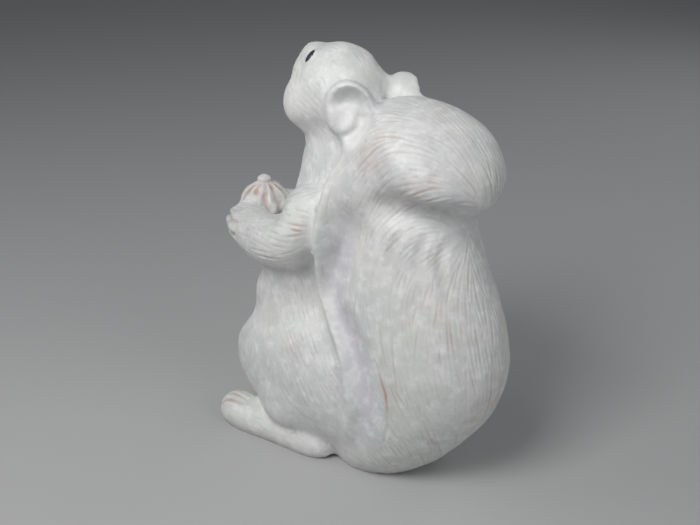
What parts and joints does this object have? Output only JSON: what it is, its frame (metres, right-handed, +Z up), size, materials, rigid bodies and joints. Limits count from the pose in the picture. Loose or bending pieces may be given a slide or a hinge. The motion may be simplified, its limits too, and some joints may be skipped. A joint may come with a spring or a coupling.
{
  "type": "squirrel figurine",
  "caption": "Sitting squirrel ornament in whitewashed terracotta, hollow built, with a big curled tail and an acorn held in its paws.",
  "frame": {"origin": "centre of the vent hole in the underside, on the standing plane", "axes": "+Z up; the squirrel faces -Y and its left side is +X"},
  "size_m": [0.1164, 0.2109, 0.2596],
  "materials": {
    "whitewash": "satin",
    "bare_terracotta": "matte",
    "eye_glaze": "gloss"
  },
  "bodies": {
    "root": {"torso": "whitewash", "floor_slab": "bare_terracotta", "head": "whitewash", "left_ear": "whitewash", "right_ear": "whitewash", "left_eye": "eye_glaze", "right_eye": "eye_glaze", "left_arm": "whitewash", "right_arm": "whitewash", "acorn_nut": "whitewash", "acorn_cap": "whitewash", "left_haunch": "whitewash", "right_haunch": "whitewash", "left_foot": "whitewash", "right_foot": "whitewash", "tail_plume": "whitewash", "tail_curl": "whitewash"}
  },
  "joints": []
}
